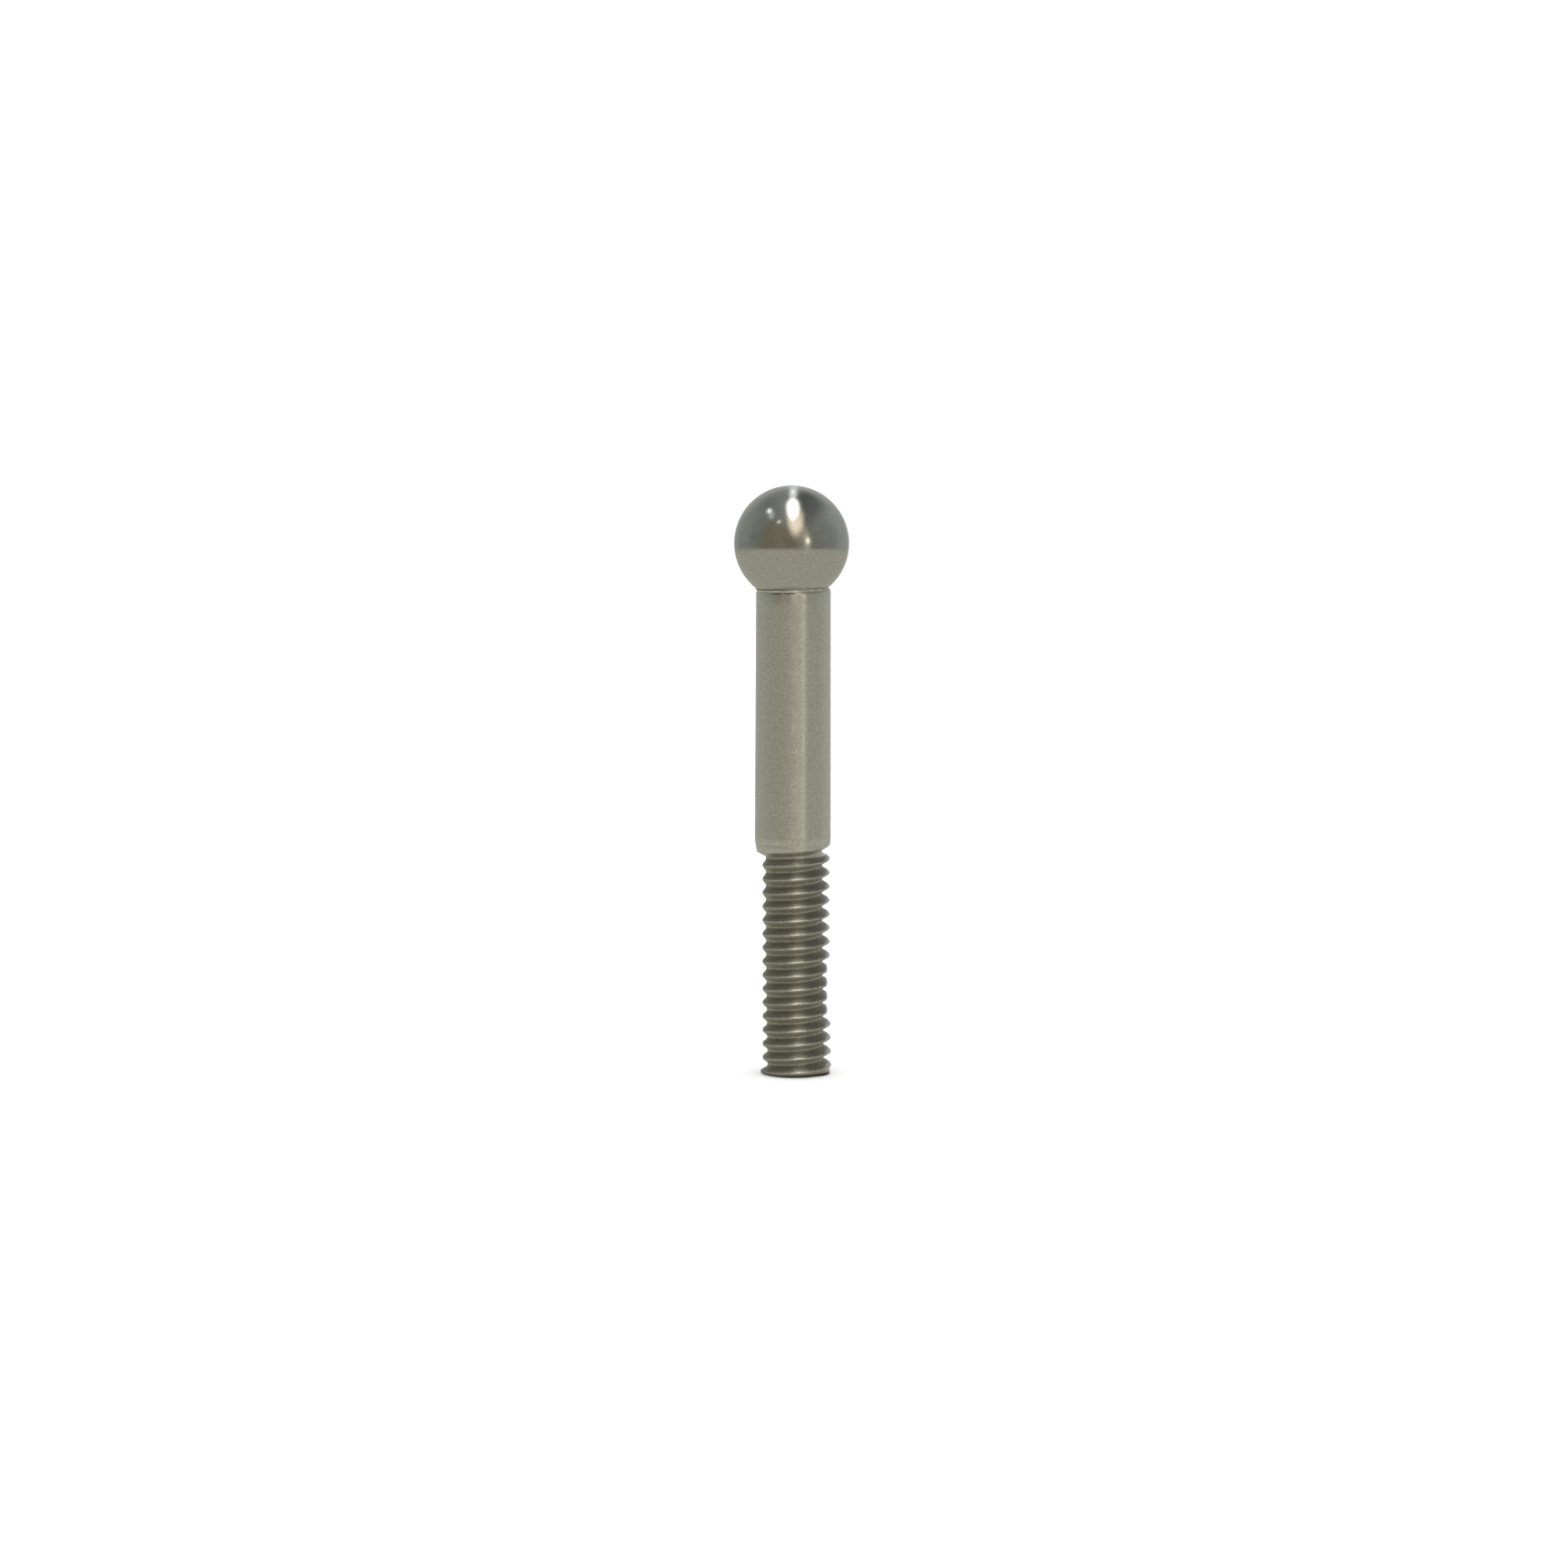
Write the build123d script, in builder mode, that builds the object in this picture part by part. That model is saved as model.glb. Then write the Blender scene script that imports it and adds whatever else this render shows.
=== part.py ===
from build123d import *
import math
import os

# ball stud, standing on its threaded end, axis along Z, all lengths in mm
ball_diameter = 10.5
ball_centre_height = 48.75
shank_diameter = 6.88
shank_top_height = 44.55
shank_top_chamfer = 0.15

# quarter inch, twenty threads per inch
pitch = 1.27
thread_diameter = 6.35
thread_depth = 0.5413 * pitch
root_flat = pitch / 4
flank_angle = 30
groove_turns = 17
groove_end_height = 20.52
end_chamfer = 0.16

# stepped land between the shank and the thread
land_diameter = 6.56
land_bottom_height = 20.24
land_top_height = 21.05
bevel_top_height = 21.47

# spigot that the drilled ball is soldered on to
spigot_diameter = 3.98
spigot_length = 4.2
spigot_chamfer = 0.3
bore_diameter = 4.0
bore_depth = 4.5

# hard-solder fillet in the corner under the ball
ring_bottom_radius = 3.36
ring_waist_radius = 3.32
ring_waist_height = 44.60
ring_top_height = 44.72

ball_radius = ball_diameter / 2
shank_radius = shank_diameter / 2
land_radius = land_diameter / 2
thread_radius = thread_diameter / 2
root_radius = thread_radius - thread_depth
shank_edge_radius = shank_radius - shank_top_chamfer
ring_bottom_height = shank_top_height - (ring_bottom_radius - shank_edge_radius)


def groove_half_width(radius):
    return root_flat / 2 + (radius - root_radius) * math.tan(math.radians(flank_angle))


def groove_corners(height, outer_radius):
    root_half = groove_half_width(root_radius)
    outer_half = groove_half_width(outer_radius)
    return [
        (root_radius, height - root_half),
        (outer_radius, height - outer_half),
        (outer_radius, height + outer_half),
        (root_radius, height + root_half),
    ]


def sphere_radius_at(height):
    return math.sqrt(ball_radius**2 - (height - ball_centre_height) ** 2)


# the ball: a sphere spot-faced flat underneath and drilled blind for the spigot
with BuildPart() as ball:
    with Locations((0, 0, ball_centre_height)):
        Sphere(ball_radius)
    with BuildSketch(Plane.XY.offset(ball_centre_height - ball_radius)):
        Circle(ball_radius)
    extrude(amount=shank_top_height - ball_centre_height + ball_radius, mode=Mode.SUBTRACT)
    with BuildSketch(Plane.XY.offset(shank_top_height)):
        Circle(bore_diameter / 2)
    extrude(amount=bore_depth, mode=Mode.SUBTRACT)

# the last full turn of the groove, tall enough to cut the land as well
last_turn_start = groove_end_height - pitch
with BuildPart() as last_turn:
    with BuildLine() as last_path:
        Helix(pitch, pitch, root_radius, center=(0, 0, last_turn_start))
    with BuildSketch(Plane.XZ):
        with BuildLine():
            Polyline(*groove_corners(last_turn_start, shank_radius + 0.1), close=True)
        make_face()
    sweep(path=last_path.line, is_frenet=True)

# the other turns, from below the end face up to the last one
first_turn_start = groove_end_height - groove_turns * pitch
with BuildPart() as lower_turns:
    with BuildLine() as lower_path:
        Helix(
            pitch,
            (groove_turns - 1) * pitch,
            root_radius,
            center=(0, 0, first_turn_start),
        )
    with BuildSketch(Plane.XZ):
        with BuildLine():
            Polyline(*groove_corners(first_turn_start, thread_radius + 0.05), close=True)
        make_face()
    sweep(path=lower_path.line, is_frenet=True)

# the run-out at the back, where the cutter leaves the metal along a wider arc
lead_angle = math.atan(pitch / (2 * math.pi * root_radius))
run_out_radius = 3 * root_radius
run_out_plane = Plane(
    origin=(root_radius - run_out_radius, 0, groove_end_height),
    x_dir=(1, 0, 0),
    z_dir=(0, -math.sin(lead_angle), math.cos(lead_angle)),
)
with BuildPart() as run_out:
    with BuildLine(run_out_plane) as run_out_path:
        CenterArc((0, 0), run_out_radius, 0, 34)
    with BuildSketch(Plane.XZ):
        with BuildLine():
            Polyline(*groove_corners(groove_end_height, shank_radius + 0.1), close=True)
        make_face()
    sweep(path=run_out_path.line, is_frenet=True)

# the stud: spigot, plain shank, stepped land and thread turned from one bar
with BuildPart() as threaded_stud:
    with BuildSketch(Plane.XZ):
        with BuildLine():
            Polyline(
                (0, 0),
                (thread_radius - end_chamfer, 0),
                (thread_radius, end_chamfer),
                (thread_radius, land_bottom_height - (land_radius - thread_radius)),
                (land_radius, land_bottom_height),
                (land_radius, land_top_height),
                (shank_radius, bevel_top_height),
                (shank_radius, shank_top_height - shank_top_chamfer),
                (shank_edge_radius, shank_top_height),
                (spigot_diameter / 2, shank_top_height),
                (spigot_diameter / 2, shank_top_height + spigot_length - spigot_chamfer),
                (spigot_diameter / 2 - spigot_chamfer, shank_top_height + spigot_length),
                (0, shank_top_height + spigot_length),
                close=True,
            )
        make_face()
    revolve(axis=Axis.Z)
    add(lower_turns.part, mode=Mode.SUBTRACT)
    add(last_turn.part, mode=Mode.SUBTRACT)
    add(run_out.part, mode=Mode.SUBTRACT)

# the hard-solder ring that fills the corner between shank and ball
with BuildPart() as solder_ring:
    seat_radius = sphere_radius_at(shank_top_height)
    ring_top_radius = sphere_radius_at(ring_top_height)
    middle_height = (shank_top_height + ring_top_height) / 2
    with BuildSketch(Plane.XZ):
        with BuildLine():
            Polyline(
                (seat_radius, shank_top_height),
                (shank_edge_radius, shank_top_height),
                (ring_bottom_radius, ring_bottom_height),
            )
            ThreePointArc(
                (ring_bottom_radius, ring_bottom_height),
                (ring_waist_radius, ring_waist_height),
                (ring_top_radius, ring_top_height),
            )
            ThreePointArc(
                (ring_top_radius, ring_top_height),
                (sphere_radius_at(middle_height), middle_height),
                (seat_radius, shank_top_height),
            )
        make_face()
    revolve(axis=Axis.Z)

os.makedirs("parts", exist_ok=True)
ball.part.label = "ball"
threaded_stud.part.label = "threaded_stud"
solder_ring.part.label = "solder_ring"
export_step(ball.part, "parts/ball.step")
export_step(threaded_stud.part, "parts/threaded_stud.step")
export_step(solder_ring.part, "parts/solder_ring.step")
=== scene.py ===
import bpy
import bmesh
import math
from mathutils import Matrix, Vector, noise


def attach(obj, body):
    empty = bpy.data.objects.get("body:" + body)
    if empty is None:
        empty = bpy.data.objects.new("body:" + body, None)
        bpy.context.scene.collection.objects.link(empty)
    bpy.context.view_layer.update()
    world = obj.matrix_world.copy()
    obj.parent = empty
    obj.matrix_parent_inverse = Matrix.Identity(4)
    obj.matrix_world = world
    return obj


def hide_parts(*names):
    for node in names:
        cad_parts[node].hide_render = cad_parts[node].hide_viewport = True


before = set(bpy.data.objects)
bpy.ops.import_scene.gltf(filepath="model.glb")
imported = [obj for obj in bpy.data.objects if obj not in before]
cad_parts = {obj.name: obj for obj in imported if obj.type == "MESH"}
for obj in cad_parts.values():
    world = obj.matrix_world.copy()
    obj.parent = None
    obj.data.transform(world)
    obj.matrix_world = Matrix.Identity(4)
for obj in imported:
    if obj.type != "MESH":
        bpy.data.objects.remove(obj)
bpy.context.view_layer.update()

millimetre = 0.001
fullTurn = 2 * math.pi


def newObject(pieceName, bm):
    bmesh.ops.remove_doubles(bm, verts=bm.verts[:], dist=1e-8)
    bmesh.ops.recalc_face_normals(bm, faces=bm.faces[:])
    mesh = bpy.data.meshes.new(pieceName)
    bm.to_mesh(mesh)
    bm.free()
    piece = bpy.data.objects.new(pieceName, mesh)
    bpy.context.scene.collection.objects.link(piece)
    return piece


def turnOnLathe(points, steps, closed=False):  # a profile of (radius, height) in mm, spun once round Z
    bm = bmesh.new()
    corners = [bm.verts.new((r * millimetre, 0, z * millimetre)) for r, z in points]
    sides = [bm.edges.new(pair) for pair in zip(corners, corners[1:])]
    if closed:
        sides.append(bm.edges.new((corners[-1], corners[0])))
    bmesh.ops.spin(bm, geom=corners + sides, cent=(0, 0, 0), axis=(0, 0, 1), dvec=(0, 0, 0),
                   angle=fullTurn, steps=steps, use_merge=True, use_duplicate=False)
    return bm


def smoothWithSharpEdges(piece, sharpAngle):
    bm = bmesh.new()
    bm.from_mesh(piece.data)
    for face in bm.faces:
        face.smooth = True
    for edge in bm.edges:
        edge.smooth = edge.calc_face_angle(0) < sharpAngle
    bm.to_mesh(piece.data)
    bm.free()


def fade(value, start, end):  # 0 before start, 1 after end, eased between
    t = min(1.0, max(0.0, (value - start) / (end - start)))
    return t * t * (3 - 2 * t)


# the view: heights and distances in mm, angles in degrees
camera = {
    "aimHeight": 26.72,
    "aimSide": -0.64,
    "distance": 456.0,
    "lookDown": 6.4,
    "roll": 0.15,
    "lens": 114.6,
    "sensor": 36,
}


def placeCamera():
    data = bpy.data.cameras.new("camera")
    data.lens = camera["lens"]
    data.sensor_width = camera["sensor"]
    eye = bpy.data.objects.new("camera", data)
    bpy.context.scene.collection.objects.link(eye)
    tilt = math.radians(camera["lookDown"])
    away = Vector((0, -math.cos(tilt), math.sin(tilt)))
    aim = Vector((camera["aimSide"], 0, camera["aimHeight"])) * millimetre
    eye.location = aim + away * camera["distance"] * millimetre
    facing = (-away).to_track_quat("-Z", "Y")
    eye.rotation_mode = "QUATERNION"
    eye.rotation_quaternion = facing @ Matrix.Rotation(math.radians(camera["roll"]), 3, "Z").to_quaternion()
    bpy.context.scene.camera = eye


placeCamera()
print("camera placed")

# the joint between ball and stud leans a little and wanders, as a hand-soldered one does
seam = {
    "height": 44.55,
    "lean": 0.021,  # rise per mm towards +X
    "wander": 0.012,
    "wanderSize": 0.9,
    "blend": 1.2,  # mm of the shank over which the lean dies out
}


def seamShift(place):  # mm that the seam stands above its level height here
    x, y, z = place / millimetre
    rough = noise.noise(Vector((x, y, 3.7)) / seam["wanderSize"])
    return seam["lean"] * x + seam["wander"] * rough


ballMake = {
    "radius": 5.25,
    "centre": 48.75,
    "around": 192,
    "rings": 96,
    "sharp": 40,  # degrees between faces from which an edge stays sharp
}


def makeBall():
    b = ballMake
    bm = bmesh.new()
    bmesh.ops.create_uvsphere(bm, u_segments=b["around"], v_segments=b["rings"],
                              radius=b["radius"] * millimetre)
    bmesh.ops.translate(bm, verts=bm.verts[:], vec=(0, 0, b["centre"] * millimetre))
    everything = bm.verts[:] + bm.edges[:] + bm.faces[:]
    bmesh.ops.bisect_plane(bm, geom=everything, plane_co=(0, 0, seam["height"] * millimetre),
                           plane_no=(seam["lean"], 0, -1), clear_outer=True)
    bmesh.ops.holes_fill(bm, edges=[e for e in bm.edges if e.is_boundary], sides=0)
    piece = newObject("polishedBall", bm)
    smoothWithSharpEdges(piece, math.radians(b["sharp"]))
    return piece


# the turned and threaded stud, in mm
studMake = {
    "shank": 3.475,
    "shankTopRadius": 3.41,
    "offCentre": 0.175,  # how far the shank stands off the ball's centre, towards +X
    "topChamfer": 0.15,
    "bevelTop": 21.47,
    "land": 3.39,
    "landTop": 21.05,
    "landBottom": 20.24,
    "major": 3.27,
    "pitch": 1.27,
    "depth": 0.687,
    "rootFlat": 0.32,
    "flankAngle": 30,
    "grooveEnd": 20.52,
    "turns": 17,
    "upperShoulder": 0.17,  # how far the crest's upper and lower edges are rounded
    "lowerShoulder": 0.05,
    "endChamfer": 0.2,
    "spigot": 1.99,
    "spigotTop": 48.75,
    "around": 160,
    "runOut": 0.26,  # turns over which the cutter backs out
    "offAxis": 0.12,  # how much further off the thread stands
    "bend": 0.22,  # and how much further again its far end
    "wornLeft": -2.44,  # the crests are worn down beyond this X
    "wornLeftLow": 1.2,  # above this height
    "wornRight": 3.28,  # and beyond this X between these heights
    "wornLow": 5.6,
    "wornHigh": 10.1,
    "wornKeeps": 0.3,  # the share of a worn crest that is left
    "endFill": 3.1,  # the groove runs out to this radius at the end face, towards +X
    "endFillSide": (20, 60),  # full within the first angle of +X, gone at the second
    "gapHeight": 44.37,  # where the solder missed the shank
    "gapDepth": 0.09,
    "sharp": 35,
}

# stretches of the seam that the solder missed: middle and half width, in degrees from -Y towards +X
solderGaps = ((-26, 10), (-5.5, 10.5))


def blankOutline():
    s = studMake
    top = seam["height"]
    return [
        (0, 0),
        (s["major"] - s["endChamfer"], 0),
        (s["major"] - 0.05, s["endChamfer"] - 0.08),
        (s["major"], s["endChamfer"] + 0.08),
        (s["major"], s["landBottom"] - 0.14),
        (s["land"] - 0.05, s["landBottom"] - 0.02),
        (s["land"], s["landBottom"] + 0.06),
        (s["land"], s["landTop"]),
        (s["shank"] - 0.025, s["bevelTop"] - 0.08),
        (s["shank"] - 0.032, s["bevelTop"]),
        (s["shank"], s["bevelTop"] + 0.06),
        (s["shank"], s["bevelTop"] + 0.6),
        (s["shankTopRadius"], s["gapHeight"] - 1.2),
        (s["shankTopRadius"], s["gapHeight"] - 0.07),
        (s["shankTopRadius"] - 0.005, s["gapHeight"] - 0.04),
        (s["shankTopRadius"] - 0.01, s["gapHeight"]),
        (s["shankTopRadius"] - 0.03, s["gapHeight"] + 0.04),
        (s["shankTopRadius"] - s["topChamfer"] + 0.04, top - 0.05),
        (s["shankTopRadius"] - s["topChamfer"], top),
        (s["spigot"], top),
        (s["spigot"], s["spigotTop"] - 0.3),
        (s["spigot"] - 0.3, s["spigotTop"]),
        (0, s["spigotTop"]),
    ]


def grooveOutline(reach, shoulder):  # half of the cutter's section, root first: (radius, half width)
    s = studMake
    root = s["major"] - s["depth"]
    slope = math.tan(math.radians(s["flankAngle"]))
    flat = s["rootFlat"] / 2

    def flank(radius):
        return flat + (radius - root) * slope

    edge = s["major"] + max(0.0, min(reach - 0.04 - s["major"], s["land"] - s["major"]))
    return [
        (root, flat * 0.45),
        (root + 0.02, flat * 0.9),
        (root + 0.07, flank(root + 0.07)),
        (edge - shoulder, flank(edge - shoulder)),
        (edge - shoulder * 0.6, flank(edge - shoulder * 0.6) + shoulder * 0.1),
        (edge - shoulder * 0.25, flank(edge - shoulder * 0.25) + shoulder * 0.32),
        (edge, flank(edge) + shoulder * 0.66),
        (reach, flank(reach) + shoulder * 0.66),
    ]


def cutterReach(turn):  # how far out the cutter stands, against turns before the end of the full depth
    s = studMake
    low = s["major"] + 0.04
    middle = s["land"] + 0.08
    high = s["land"] + 0.32
    if turn < -0.95:
        return low
    if turn < -0.75:
        return low + (middle - low) * (turn + 0.95) / 0.2
    if turn < -0.4:
        return middle
    if turn < -0.15:
        return middle + (high - middle) * (turn + 0.4) / 0.25
    return high


def cutterSection(step):  # the cutter's closed section, step by step from the start of the last full turn
    s = studMake
    turn = step / s["around"] - 1
    angle = fullTurn * (turn + 0.5 / s["around"])
    height = s["grooveEnd"] + turn * s["pitch"]
    back = max(0.0, turn / s["runOut"]) ** 1.5 * (s["shank"] - s["major"] + s["depth"])
    below = grooveOutline(cutterReach(turn), s["upperShoulder"])
    above = grooveOutline(cutterReach(turn), s["lowerShoulder"])
    whole = [(r + back, height - w) for r, w in below[::-1]] + [(r + back, height + w) for r, w in above]
    return [Vector((r * math.cos(angle), r * math.sin(angle), z)) * millimetre for r, z in whole]


def makeThreadCutter():
    s = studMake
    bm = bmesh.new()
    start = [bm.verts.new(place) for place in cutterSection(0)]
    startSides = [bm.edges.new(pair) for pair in zip(start, start[1:] + start[:1])]
    sides = startSides
    previous = cutterSection(0)
    for step in range(1, round((1 + s["runOut"]) * s["around"]) + 1):
        made = bmesh.ops.extrude_edge_only(bm, edges=sides)["geom"]
        sides = [g for g in made if isinstance(g, bmesh.types.BMEdge)]
        target = cutterSection(step)
        for v in {v for e in sides for v in e.verts}:
            v.co = target[min(range(len(previous)), key=lambda i: (previous[i] - v.co).length)]
        previous = target
    shaped = set(bm.faces)
    stepDown = -s["pitch"] * millimetre / s["around"]
    bmesh.ops.spin(bm, geom=start + startSides, cent=(0, 0, 0), axis=(0, 0, 1), dvec=(0, 0, stepDown),
                   angle=-fullTurn, steps=s["around"], use_duplicate=False)
    oneTurn = [f for f in bm.faces if f not in shaped]
    for turn in range(1, s["turns"] - 1):
        copied = bmesh.ops.duplicate(bm, geom=oneTurn)["geom"]
        moved = [g for g in copied if isinstance(g, bmesh.types.BMVert)]
        bmesh.ops.translate(bm, verts=moved, vec=(0, 0, -turn * s["pitch"] * millimetre))
    bmesh.ops.remove_doubles(bm, verts=bm.verts[:], dist=3e-6)
    bmesh.ops.holes_fill(bm, edges=[e for e in bm.edges if e.is_boundary], sides=0)
    return newObject("threadCutter", bm)


def gapHere(place):  # 1 where the solder left a gap under the ball, fading to 0 round it
    x, y, z = place / millimetre
    nearHeight = 1 - fade(abs(z - studMake["gapHeight"]), 0.0, 0.05)
    angle = math.degrees(math.atan2(x, -y))
    return nearHeight * max(1 - fade(abs(angle - middle), width * 0.6, width) for middle, width in solderGaps)


def leanNeck(v, x, y, z):  # shapes the shank's top to the seam, and gives how much of a gap is here
    s = studMake
    if z <= seam["height"] - seam["blend"] or math.hypot(x, y) <= s["spigot"] + 0.1:
        return 0.0
    gap = gapHere(v.co)
    lift = seamShift(v.co) * fade(z, seam["height"] - seam["blend"], seam["height"])
    v.co.xy *= 1 - gap * s["gapDepth"] / s["shankTopRadius"]
    v.co.z += lift * millimetre
    return gap


def fillEnd(v, x, y, z):  # lets the groove run out at the end face
    s = studMake
    radius = math.hypot(x, y)
    if z < s["pitch"] / 2 and s["major"] - s["depth"] - 0.1 < radius < s["endFill"]:
        side = abs(math.degrees(math.atan2(y, x)))
        fill = (1 - fade(z, s["pitch"] / 4, s["pitch"] / 2)) * (1 - fade(side, *s["endFillSide"]))
        v.co.xy *= 1 + (s["endFill"] / radius - 1) * fill


def bendAndWear(v, z):  # moves the stud off the ball's axis, then wears the crests down
    s = studMake
    bend = s["bend"] * max(0.0, 1 - z / s["landBottom"]) ** 2
    offAxis = s["offAxis"] * (1 - fade(z, s["landBottom"], s["landTop"]))
    v.co.x += (s["offCentre"] + offAxis + bend) * millimetre
    leftWear = min(0.0, v.co.x - s["wornLeft"] * millimetre)
    if s["wornLeftLow"] < z < s["landBottom"] - 0.3:
        v.co.x -= leftWear * (1 - s["wornKeeps"])
    rightWear = max(0.0, v.co.x - s["wornRight"] * millimetre)
    if s["wornLow"] < z < s["wornHigh"]:
        v.co.x -= rightWear * (1 - s["wornKeeps"])


def makeStud():
    s = studMake
    blank = newObject("turnedStud", turnOnLathe(blankOutline(), s["around"]))
    cutter = makeThreadCutter()
    cut = blank.modifiers.new("thread", "BOOLEAN")
    cut.object = cutter
    cut.operation = "DIFFERENCE"
    cut.solver = "MANIFOLD"
    shape = bpy.data.meshes.new_from_object(blank.evaluated_get(bpy.context.evaluated_depsgraph_get()))
    blank.modifiers.clear()
    blank.data = shape
    bpy.data.objects.remove(cutter)
    split = bmesh.new()
    split.from_mesh(shape)
    # split before the shape is bent, because the end face's outline overlaps itself afterwards
    bmesh.ops.triangulate(split, faces=[f for f in split.faces if len(f.verts) > 4])
    split.to_mesh(shape)
    split.free()
    # the gaps the solder missed are marked here for painted shade in the material
    gapShade = shape.attributes.new("gapShade", "FLOAT", "POINT")
    for v in shape.vertices:
        x, y, z = v.co / millimetre
        gapShade.data[v.index].value = leanNeck(v, x, y, z)
        fillEnd(v, x, y, z)
        bendAndWear(v, z)
    smoothWithSharpEdges(blank, math.radians(s["sharp"]))
    return blank


# the fillet of solder between them, in mm
ringMake = {
    "bottom": (3.35, 44.51),
    "waist": (3.325, 44.58),
    "top": 44.65,
    "around": 192,
    "ripple": 0.008,
    "rippleSize": 1.6,  # ripples per mm
    "lap": 0.008,  # how far the top edge laps on to the ball
    "sharp": 60,
}


def makeSolderRing():
    r = ringMake
    outer = [r["bottom"], (r["waist"][0] + 0.015, (r["bottom"][1] + r["waist"][1]) / 2), r["waist"],
             (r["waist"][0], (r["waist"][1] + r["top"]) / 2), (r["waist"][0] + 0.01, r["top"])]
    inner = [(3.15, r["top"] - 0.01), (3.10, 44.60), (3.10, 44.56), (3.22, 44.54)]
    piece = newObject("solderFillet", turnOnLathe(outer + inner, r["around"], closed=True))
    for v in piece.data.vertices:
        x, y, z = v.co / millimetre
        radius = math.hypot(x, y)
        lift = seamShift(v.co)
        if z > r["waist"][1] + 0.05 and radius > 3.2:  # the top edge lies on the ball
            wanted = math.sqrt(ballMake["radius"] ** 2 - (ballMake["centre"] - z - lift) ** 2) + r["lap"]
        else:
            wanted = radius + r["ripple"] * noise.noise(Vector((x, y, z)) * r["rippleSize"])
        v.co.xy *= wanted / radius
        v.co.x += studMake["offCentre"] * millimetre * (1 - fade(z, r["bottom"][1], r["top"]))
        v.co.z += lift * millimetre
    smoothWithSharpEdges(piece, math.radians(r["sharp"]))
    return piece


def add(tree, kind, inputs=(), **settings):  # a shader node with its settings, values and links
    made = tree.nodes.new("ShaderNode" + kind)
    for setting, value in settings.items():
        setattr(made, setting, value)
    for socket, value in dict(inputs).items():
        if isinstance(value, bpy.types.NodeSocket):
            tree.links.new(value, made.inputs[socket])
        else:
            made.inputs[socket].default_value = value
    return made


def reckon(tree, operation, *values):
    return add(tree, "Math", enumerate(values), operation=operation).outputs[0]


def band(tree, value, low, high, atLow=0.0, atHigh=1.0):
    sockets = {"Value": value, "From Min": low, "From Max": high, "To Min": atLow, "To Max": atHigh}
    return add(tree, "MapRange", sockets, interpolation_type="SMOOTHSTEP").outputs[0]


def mixColour(tree, factor, a, b, blend="MIX"):
    made = add(tree, "Mix", {"Factor": factor}, data_type="RGBA", blend_type=blend)
    for socket, value in ((made.inputs[6], a), (made.inputs[7], b)):
        if isinstance(value, bpy.types.NodeSocket):
            tree.links.new(value, socket)
        else:
            socket.default_value = (*value, 1)
    return made.outputs[2]


def ramp(tree, value, stops, mode="LINEAR"):  # stops are (position, colour)
    made = add(tree, "ValToRGB", {0: value})
    made.color_ramp.interpolation = mode
    elements = made.color_ramp.elements
    elements[0].position, elements[1].position = stops[0][0], stops[-1][0]
    for position, _ in stops[1:-1]:
        elements.new(position)
    for element, (_, colour) in zip(elements, stops):
        element.color = (*colour, 1)
    return made.outputs[0]


def speckle(tree, place, size, detail=4.0):  # noise whose grains are about size mm across
    sockets = {"Vector": place, "Scale": 1 / (size * millimetre), "Detail": detail, "Roughness": 0.72}
    return add(tree, "TexNoise", sockets).outputs["Fac"]


def grained(tree, grain):  # the noise sharpened into light and dark grains
    return band(tree, grain, 0.37, 0.63)


def newMetal(name):
    material = bpy.data.materials.new(name)
    material.use_nodes = True
    tree = material.node_tree
    shader = tree.nodes["Principled BSDF"]
    shader.inputs["Metallic"].default_value = 1
    return material, tree, shader, add(tree, "TexCoord").outputs["Object"]


def join(tree, source, socket):
    tree.links.new(source, socket)


# polished ball: a fine satin under the polish, and faint handling marks
ballLook = {
    "colour": (0.70, 0.70, 0.67),
    "shade": (0.49, 0.49, 0.465),
    "grain": 0.10,
    "roughness": (0.10, 0.165),
    "bump": 0.12,
    "cloud": 1.7,  # size of the duller patches, mm
}


def ballPolish():
    material, tree, shader, place = newMetal("ballPolish")
    grain = speckle(tree, place, ballLook["grain"])
    cloud = speckle(tree, place, ballLook["cloud"], 3.0)
    join(tree, mixColour(tree, grained(tree, grain), ballLook["shade"], ballLook["colour"]),
         shader.inputs["Base Color"])
    low, high = ballLook["roughness"]
    join(tree, band(tree, cloud, 0.3, 0.7, low, high), shader.inputs["Roughness"])
    bump = add(tree, "Bump", {"Strength": ballLook["bump"], "Distance": 0.02 * millimetre, "Height": grain})
    join(tree, bump.outputs[0], shader.inputs["Normal"])
    return material


# stud steel: satin shank, and a thread with painted highlights on its crests, painted light on its roots and
# under flanks, and painted shade on its upper flanks
studLook = {
    "colour": (0.90, 0.895, 0.82),
    "shade": (0.59, 0.59, 0.53),
    "grain": 0.11,
    "roughness": 0.36,
    "threadRoughness": 0.50,
    "anisotropic": 0.75,
    "anisotropicTurn": 0.25,
    "bump": 0.22,
    # painted light and shade on the thread: a painted highlight on the crest, painted light on the root and
    # under flank, painted shade on the upper flank
    "crestHighlight": (0.90, 0.88, 0.79),
    "root": (0.78, 0.76, 0.66),
    "underFlankLight": (0.66, 0.655, 0.55),
    "upperFlankShade": (0.41, 0.40, 0.345),
    # painted highlight on the upper flanks towards +X
    "rightFlankSheen": (0.98, 0.97, 0.92),
    # painted shade for the gaps the solder missed
    "gapShade": (0.05, 0.045, 0.035),
    # darker towards the end face
    "endDarkening": (0.11, 0.105, 0.08),
    "endDarkeningHeights": (0.16, 0.42),  # mm above the end face over which the darkening fades
    "rightFlankSheenSide": (2.65, 3.1),  # mm towards +X over which the upper flanks take a painted highlight from the light on that side
    "grainOnThread": (0.58, 0.58, 0.58),
}


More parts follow.
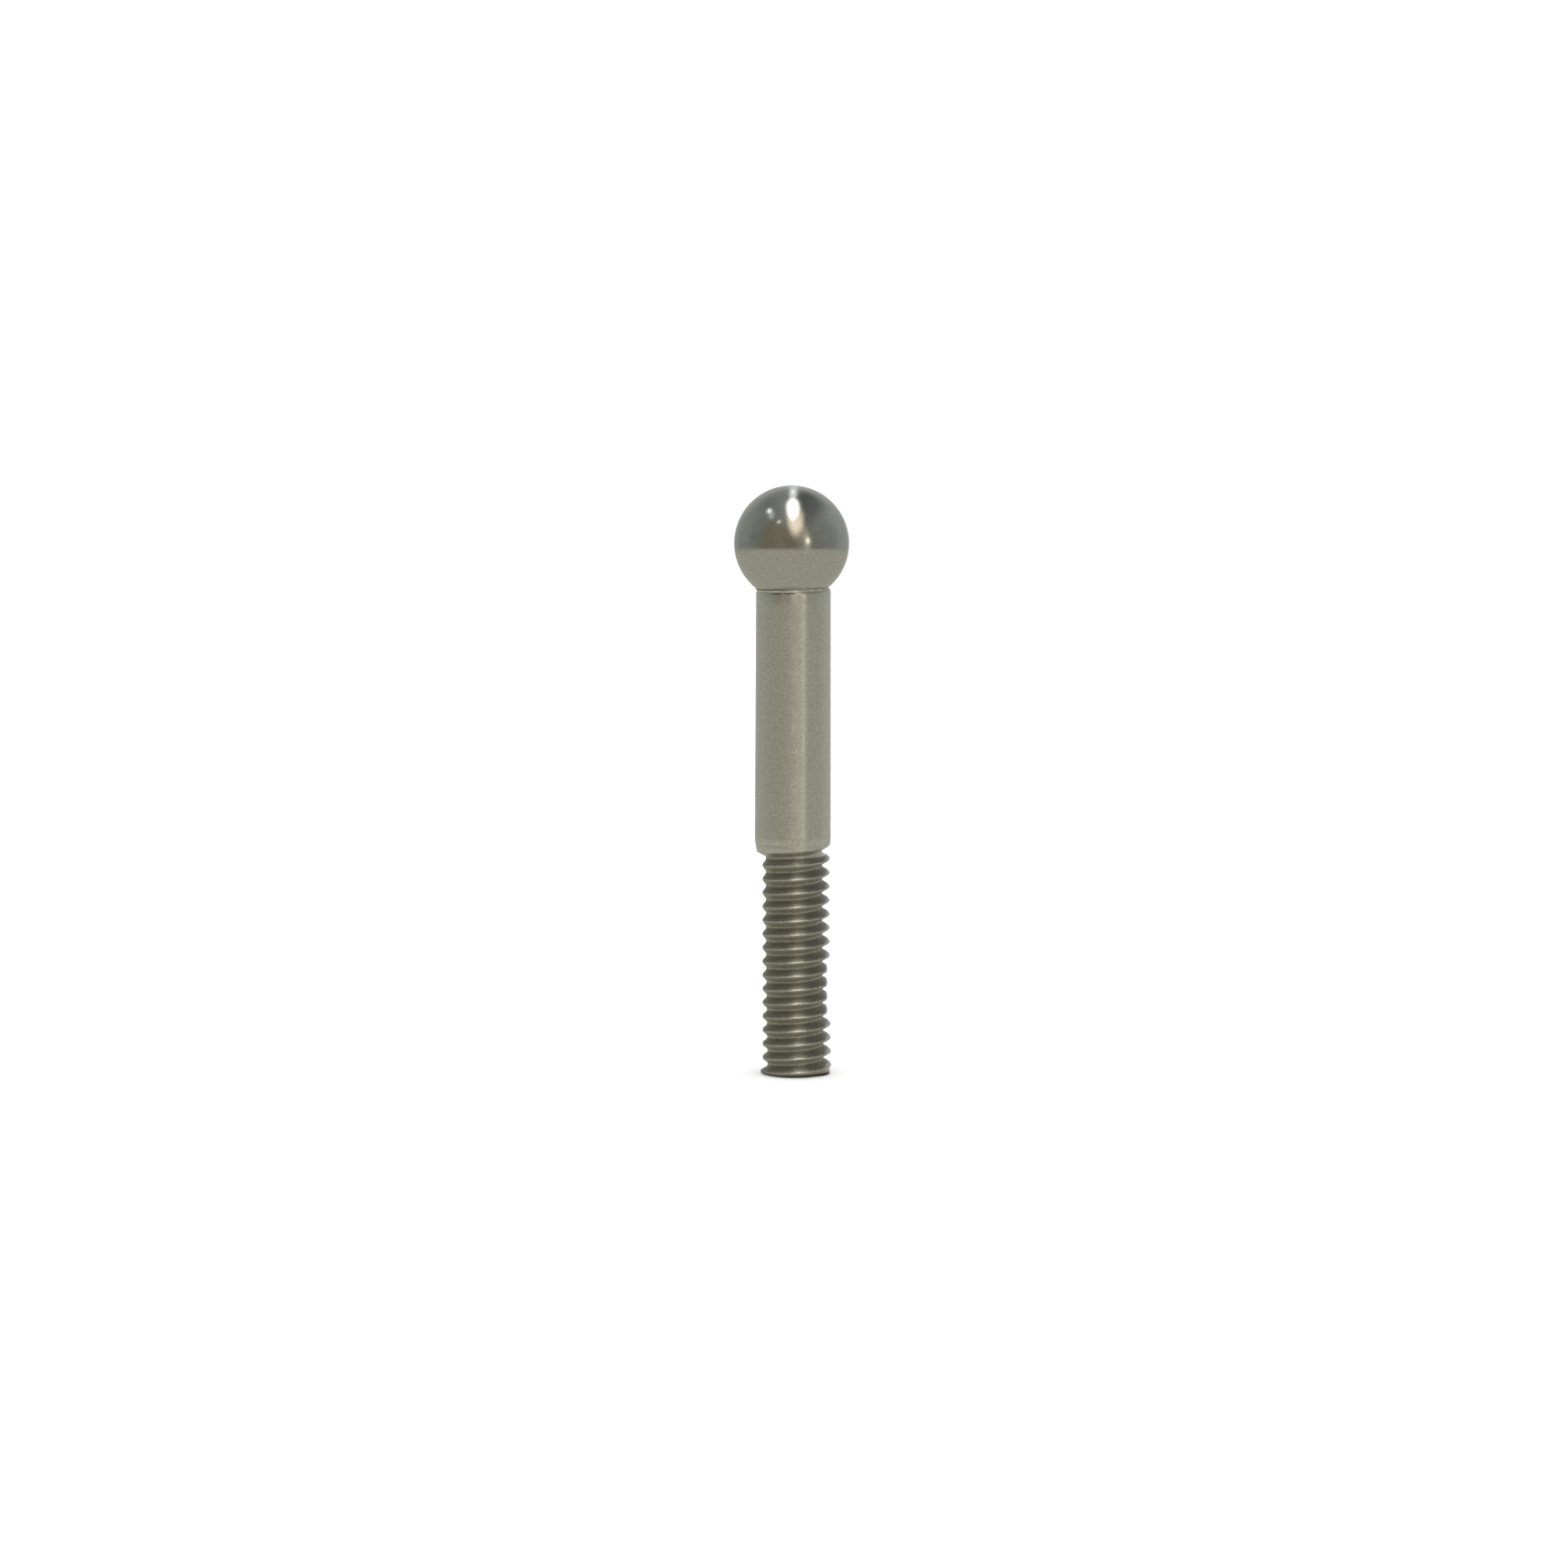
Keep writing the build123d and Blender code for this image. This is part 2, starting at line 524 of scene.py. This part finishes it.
def studSteel():
    s = studMake
    k = studLook
    material, tree, shader, place = newMetal("studSteel")
    parts = add(tree, "SeparateXYZ", {0: place}).outputs
    side = reckon(tree, "SUBTRACT", parts["X"], (s["offCentre"] + s["offAxis"] + s["bend"] / 3) * millimetre)
    turn = reckon(tree, "DIVIDE", reckon(tree, "ARCTAN2", parts["Y"], side), fullTurn)
    climb = reckon(tree, "SUBTRACT", parts["Z"], s["grooveEnd"] * millimetre)
    turnsUp = reckon(tree, "DIVIDE", climb, s["pitch"] * millimetre)
    wobble = band(tree, speckle(tree, place, 0.5), 0.2, 0.8, -0.02, 0.02)
    phase = reckon(tree, "FRACT", reckon(tree, "ADD", reckon(tree, "SUBTRACT", turnsUp, turn), wobble))
    # the thread's painted highlight, light and shade, laid out by its phase along the helix
    threadTone = ramp(tree, phase, (
        (0.0, k["root"]), (0.05, k["root"]), (0.085, k["underFlankLight"]), (0.43, k["underFlankLight"]),
        (0.465, k["crestHighlight"]), (0.535, k["crestHighlight"]), (0.57, k["upperFlankShade"]), (0.955, k["upperFlankShade"]),
        (0.99, k["root"]),
    ))
    grain = speckle(tree, place, k["grain"])
    shankTone = mixColour(tree, grained(tree, grain), k["shade"], k["colour"])
    # painted highlight on the upper flanks near the +X side, where they face the light there
    rightFlankSheenFrom, rightFlankSheenTo = (x * millimetre for x in k["rightFlankSheenSide"])
    rightFlankSheen = reckon(tree, "MULTIPLY", band(tree, side, rightFlankSheenFrom, rightFlankSheenTo), band(tree, phase, 0.78, 0.6))
    threadTone = mixColour(tree, rightFlankSheen, threadTone, k["rightFlankSheen"])
    grainOnThread = mixColour(tree, grained(tree, grain), k["grainOnThread"], (1, 1, 1))
    threadTone = mixColour(tree, 1.0, threadTone, grainOnThread, "MULTIPLY")
    threaded = band(tree, parts["Z"], (s["landBottom"] - 0.12) * millimetre,
                    s["landBottom"] * millimetre, 1.0, 0.0)
    tone = mixColour(tree, threaded, shankTone, threadTone)
    # darker towards the end face
    endDarkeningFrom, endDarkeningTo = (z * millimetre for z in k["endDarkeningHeights"])
    nearEnd = band(tree, parts["Z"], endDarkeningFrom, endDarkeningTo, 1.0, 0.0)
    tone = mixColour(tree, nearEnd, tone, k["endDarkening"])
    # painted shade, near black, in the gaps the solder left under the ball
    gapShade = add(tree, "Attribute", attribute_name="gapShade").outputs["Fac"]
    tone = mixColour(tree, gapShade, tone, k["gapShade"])
    join(tree, tone, shader.inputs["Base Color"])
    worn = band(tree, speckle(tree, place, 0.8, 3.0), 0.3, 0.7, -0.04, 0.04)
    rough = band(tree, threaded, 0.0, 1.0, k["roughness"], k["threadRoughness"])
    join(tree, reckon(tree, "ADD", rough, worn), shader.inputs["Roughness"])
    shader.inputs["Anisotropic"].default_value = k["anisotropic"]
    shader.inputs["Anisotropic Rotation"].default_value = k["anisotropicTurn"]
    tangent = add(tree, "Tangent", direction_type="RADIAL", axis="Z")
    join(tree, tangent.outputs[0], shader.inputs["Tangent"])
    bump = add(tree, "Bump", {"Strength": k["bump"], "Distance": 0.02 * millimetre, "Height": grain})
    join(tree, bump.outputs[0], shader.inputs["Normal"])
    return material


# dull solder with a chalky skin of flux
solderLook = {
    "colour": (0.66, 0.65, 0.59),
    "shade": (0.46, 0.45, 0.39),
    "metallic": 0.55,
    "roughness": 0.35,
    "bump": 0.3,
    "bumpDepth": 0.03,
    "patch": 0.35,  # mm
}


def solder():
    material, tree, shader, place = newMetal("solder")
    patches = speckle(tree, place, solderLook["patch"], 3.0)
    join(tree, mixColour(tree, band(tree, patches, 0.38, 0.6), solderLook["shade"], solderLook["colour"]),
         shader.inputs["Base Color"])
    shader.inputs["Metallic"].default_value = solderLook["metallic"]
    shader.inputs["Roughness"].default_value = solderLook["roughness"]
    relief = solderLook["bumpDepth"] * millimetre
    bump = add(tree, "Bump", {"Strength": solderLook["bump"], "Distance": relief, "Height": patches})
    join(tree, bump.outputs[0], shader.inputs["Normal"])
    return material


floorLook = {
    "side": 8.0,  # metres
    "colour": (0.92, 0.92, 0.92),
}


def makeFloor():
    bm = bmesh.new()
    bmesh.ops.create_grid(bm, x_segments=1, y_segments=1, size=floorLook["side"] / 2)
    floor = newObject("floor", bm)
    material = bpy.data.materials.new("paleFloor")
    material.use_nodes = True
    shader = material.node_tree.nodes["Principled BSDF"]
    shader.inputs["Base Color"].default_value = (*floorLook["colour"], 1)
    shader.inputs["Roughness"].default_value = 1
    shader.inputs["Specular IOR Level"].default_value = 0
    floor.data.materials.append(material)
    floor.visible_glossy = False


# the room that the metal mirrors: tones round the horizon, by degrees from -Y towards +X
horizon = (
    (-180, (0.44, 0.45, 0.43)),
    (-115, (0.28, 0.29, 0.27)),
    (-75, (0.195, 0.215, 0.195)),
    (-52, (0.20, 0.177, 0.13)),
    (-22, (0.235, 0.20, 0.143)),
    (2, (0.19, 0.175, 0.13)),
    (16, (0.25, 0.24, 0.185)),
    (30, (0.30, 0.29, 0.235)),
    (42, (0.22, 0.225, 0.185)),
    (80, (0.23, 0.25, 0.23)),
    (125, (0.36, 0.37, 0.35)),
    (180, (0.44, 0.45, 0.43)),
)

# soft lights in it: the middle's direction, half sizes along X, Y and Z, and brightness
softLights = {
    "overheadCore": ((0.03, -0.21, 0.96), (0.16, 0.42, 0.5), (3.2, 3.2, 3.1)),
    "overheadTaper": ((0.025, 0.42, 0.90), (0.075, 0.40, 0.45), (0.75, 0.77, 0.76)),
    "overheadBack": ((0.02, 0.75, 0.64), (0.05, 0.40, 0.45), (0.45, 0.47, 0.46)),
    "overheadFront": ((0.12, -0.64, 0.74), (0.25, 0.52, 0.5), (1.05, 0.88, 0.69)),
    "leftLamp": ((-0.57, -0.03, 0.82), (0.05, 0.10, 0.16), (1.5, 1.55, 1.5)),
    "leftTail": ((-0.56, -0.22, 0.79), (0.08, 0.20, 0.2), (0.35, 0.36, 0.36)),
    "leftSpot": ((-0.40, -0.59, 0.70), (0.05, 0.05, 0.05), (1.5, 1.45, 1.1)),
    "rightLamp": ((0.53, -0.83, 0.13), (0.045, 0.10, 0.11), (1.9, 1.85, 1.5)),
    "rightTail": ((0.51, -0.84, 0.12), (0.13, 0.12, 0.36), (0.22, 0.21, 0.16)),
    "warmWall": ((0.22, -0.86, 0.42), (0.30, 0.35, 0.30), (0.12, 0.11, 0.08)),
    "backdrop": ((0.05, 0.99, 0.0), (0.3, 0.3, 0.2), (0.3, 0.3, 0.3)),
}

# and across the ceiling, from -X to +X
ceiling = (
    (-1.0, (0.20, 0.21, 0.20)),
    (-0.5, (0.20, 0.21, 0.20)),
    (-0.2, (0.27, 0.275, 0.265)),
    (0.0, (0.27, 0.275, 0.265)),
    (0.25, (0.10, 0.105, 0.10)),
    (0.5, (0.13, 0.135, 0.13)),
    (1.0, (0.34, 0.35, 0.34)),
)

room = {
    "table": (0.455, 0.445, 0.37),
    "tableTop": -0.15,  # the sine of the height where the table ends
    "tableBlur": 0.045,
    "white": (1.35, 1.35, 1.35),  # what lights the floor and fills the backdrop
}


def makeWorld():
    world = bpy.data.worlds.new("studio")
    bpy.context.scene.world = world
    world.use_nodes = True
    tree = world.node_tree
    toward = add(tree, "TexCoord").outputs["Generated"]
    parts = add(tree, "SeparateXYZ", {0: toward}).outputs
    angle = reckon(tree, "ARCTAN2", parts["X"], reckon(tree, "MULTIPLY", parts["Y"], -1))
    around = reckon(tree, "ADD", reckon(tree, "DIVIDE", angle, fullTurn), 0.5)
    tone = ramp(tree, around, [(degrees / 360 + 0.5, colour) for degrees, colour in horizon], "EASE")
    across = reckon(tree, "MULTIPLY_ADD", parts["X"], 0.5, 0.5)
    above = ramp(tree, across, [(x / 2 + 0.5, colour) for x, colour in ceiling], "EASE")
    tone = mixColour(tree, band(tree, parts["Z"], 0.45, 0.85), tone, above)
    edge = room["tableTop"]
    aboveTable = band(tree, parts["Z"], edge - room["tableBlur"], edge + room["tableBlur"])
    tone = mixColour(tree, aboveTable, room["table"], tone)
    for middle, size, brightness in softLights.values():
        offset = add(tree, "VectorMath", {0: toward, 1: middle}, operation="SUBTRACT").outputs[0]
        scaled = add(tree, "VectorMath", {0: offset, 1: size}, operation="DIVIDE").outputs[0]
        reach = add(tree, "VectorMath", {0: scaled}, operation="LENGTH").outputs["Value"]
        tone = mixColour(tree, band(tree, reach, 1.3, 0.5), tone, brightness, "ADD")
    glossy = add(tree, "LightPath").outputs["Is Glossy Ray"]
    join(tree, mixColour(tree, glossy, room["white"], tone), tree.nodes["Background"].inputs["Color"])


bpy.context.scene.view_settings.view_transform = "Standard"
makeFloor()
makeWorld()
print("stage set")

for makePiece, node, makeMaterial, slot in (
    (makeBall, "ball", ballPolish, "polished_ball"),
    (makeStud, "threaded_stud", studSteel, "stud_steel"),
    (makeSolderRing, "solder_ring", solder, "hard_solder"),
):
    piece = makePiece()
    piece.data.materials.clear()
    piece.data.materials.append(makeMaterial())
    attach(piece, "root")
    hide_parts(node)
    print(piece.name, len(piece.data.vertices), "vertices")
